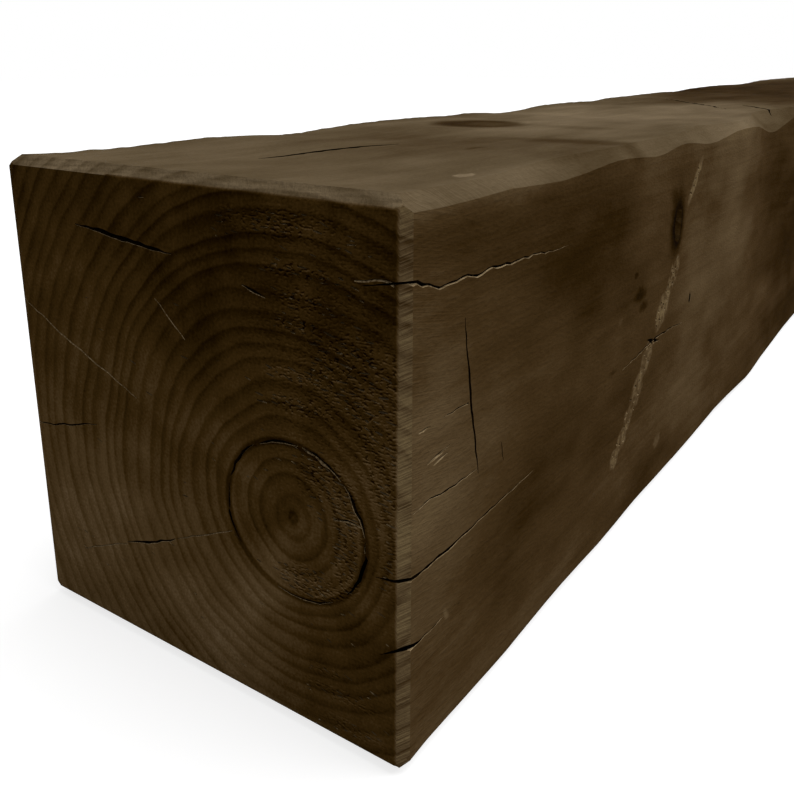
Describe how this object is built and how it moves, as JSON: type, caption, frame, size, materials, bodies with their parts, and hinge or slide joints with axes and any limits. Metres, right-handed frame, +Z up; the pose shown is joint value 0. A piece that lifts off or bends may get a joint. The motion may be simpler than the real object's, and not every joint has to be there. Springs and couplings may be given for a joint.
{
  "type": "rough-hewn timber beam",
  "caption": "Square-section hewn softwood beam, dark stained, with wavy drawknifed edges, drying checks, bevelled sawn ends and a flat sawn back and underside.",
  "frame": {"origin": "centre of the sawn underside, on the surface that the beam lies on", "axes": "+X along the beam from the end shown in the picture to the far end, -Y the hewn front, +Y the sawn back, +Z up"},
  "size_m": [1.5, 0.153, 0.1596],
  "materials": {
    "stained_softwood": "dark walnut stain, matt, on hewn and lightly sanded softwood"
  },
  "bodies": {
    "root": {"timber_beam": "stained_softwood"}
  },
  "joints": []
}
